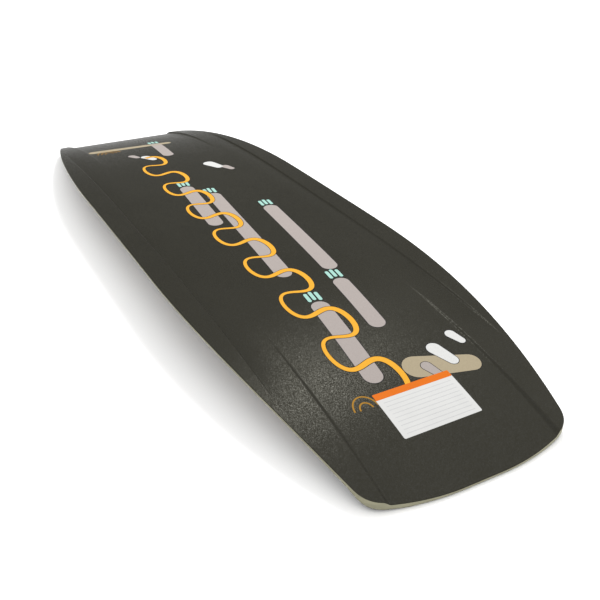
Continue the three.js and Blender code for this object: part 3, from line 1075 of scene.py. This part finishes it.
class WAKEBOARD_OT_deck_marks(bpy.types.Operator):
    """Lay two plain stripes and the stance marks on the deck"""
    bl_idname = "wakeboard.deck_marks"
    bl_label = "Deck marks"

    stripe_share = 0.84
    stripe_rows = ((30, 7), (42, 2.5))  # inward from the film's edge, and width, in millimetres

    def execute(self, context):
        reach = self.stripe_share * sizes().half_length
        stripes = []
        for side in (1, -1):
            for offset, width in self.stripe_rows:
                line = []
                for x in np.linspace(-reach, reach, 220):
                    line.append((x, side * (side_width(abs(x)) - bevel_inset(x) - offset * MM)))
                stripes.append(band_mesh(line, [width * MM] * len(line), 2, deck_height, -1))
        new_piece("deck_stripes", *join_meshes(stripes), ink("ribbon"), "top_sheet")
        marks = []
        for x, y, _ in insert_places().values():
            side = 1 if y > 0 else -1
            middle = (x, y - side * 14 * MM)
            marks.append(inlay_mesh(capsule(middle, 3.2 * MM, 0.8 * MM, 90), 2, deck_height, -1))
        new_piece("stance_marks", *join_meshes(marks), ink("bar"), "top_sheet")
        return {"FINISHED"}


class WAKEBOARD_OT_stage(bpy.types.Operator):
    """Set the floor, the lights and the camera"""
    bl_idname = "wakeboard.stage"
    bl_label = "Stage"

    floor_half = 14.0
    sky_strength = 1.38
    # Place, aim, size and power of each lamp.
    key_lamp = ((-0.58, 0.78, 1.75), (0.30, -0.05, 0.05), 0.42, 22)
    fill_lamp = ((0.30, 1.70, 1.60), (0.20, 0.0, 0.05), 2.0, 13)
    camera_azimuth = 61.494
    camera_elevation = 29.356
    camera_distance = 1.28522
    camera_target = (0.226408, 0.017923, -0.00056)
    camera_lens = 46.847

    def execute(self, context):
        scene = context.scene
        size = self.floor_half
        mesh = bpy.data.meshes.new("floor")
        mesh.from_pydata([(-size, -size, 0), (size, -size, 0), (size, size, 0), (-size, size, 0)],
                         [], [(0, 1, 2, 3)])
        floor = bpy.data.objects.new("floor", mesh)
        scene.collection.objects.link(floor)
        white = Nodes("pale_floor")
        white.colour(white.blend(white.noise(3, 2), (0.86, 0.86, 0.86), (0.88, 0.88, 0.88)))
        white.set(Roughness=0.9, Specular_IOR_Level=0.1)
        mesh.materials.append(white.material)

        world = bpy.data.worlds.new("soft_studio")
        world.use_nodes = True
        world.node_tree.nodes["Background"].inputs["Color"].default_value = (1, 1, 1, 1)
        world.node_tree.nodes["Background"].inputs["Strength"].default_value = self.sky_strength
        scene.world = world
        self.lamp("key", *self.key_lamp)
        self.lamp("fill", *self.fill_lamp)

        a, e = math.radians(self.camera_azimuth), math.radians(self.camera_elevation)
        back = Vector((math.sin(a) * math.cos(e), -math.cos(a) * math.cos(e), math.sin(e)))
        data = bpy.data.cameras.new("camera")
        data.lens = self.camera_lens
        data.sensor_width = 36
        data.clip_start, data.clip_end = 0.05, 60
        camera = bpy.data.objects.new("camera", data)
        camera.location = Vector(self.camera_target) + back * self.camera_distance
        camera.rotation_mode = "QUATERNION"
        camera.rotation_quaternion = (-back).to_track_quat("-Z", "Y")
        scene.collection.objects.link(camera)
        scene.camera = camera
        scene.view_settings.view_transform = "Standard"
        return {"FINISHED"}

    def lamp(self, name, place, aim, size, power):
        data = bpy.data.lights.new(name, "AREA")
        data.size = size
        data.energy = power
        lamp = bpy.data.objects.new(name, data)
        lamp.location = place
        lamp.rotation_mode = "QUATERNION"
        lamp.rotation_quaternion = (Vector(aim) - Vector(place)).to_track_quat("-Z", "Y")
        bpy.context.scene.collection.objects.link(lamp)


OPERATORS = (
    WAKEBOARD_OT_base, WAKEBOARD_OT_side_walls, WAKEBOARD_OT_deck, WAKEBOARD_OT_inserts,
    WAKEBOARD_OT_core, WAKEBOARD_OT_sticker, WAKEBOARD_OT_graphic, WAKEBOARD_OT_deck_marks,
    WAKEBOARD_OT_stage,
)


class WAKEBOARD_PT_build(bpy.types.Panel):
    """Lists the pieces of the wakeboard"""
    bl_idname = "WAKEBOARD_PT_build"
    bl_label = "Wakeboard"
    bl_space_type = "VIEW_3D"
    bl_region_type = "UI"
    bl_category = "Wakeboard"

    def draw(self, context):
        for operator in OPERATORS:
            self.layout.operator(operator.bl_idname)


def register():
    for name, group in GROUPS.items():
        bpy.utils.register_class(group)
        setattr(bpy.types.Scene, name, bpy.props.PointerProperty(type=group))
    for cls in (*OPERATORS, WAKEBOARD_PT_build):
        bpy.utils.register_class(cls)


def unregister():
    for cls in reversed((*OPERATORS, WAKEBOARD_PT_build)):
        bpy.utils.unregister_class(cls)
    for name, group in reversed(GROUPS.items()):
        delattr(bpy.types.Scene, name)
        bpy.utils.unregister_class(group)


def main():
    register()
    for operator in OPERATORS:
        group, action = operator.bl_idname.split(".")
        getattr(getattr(bpy.ops, group), action)()


if __name__ == "__main__":
    main()
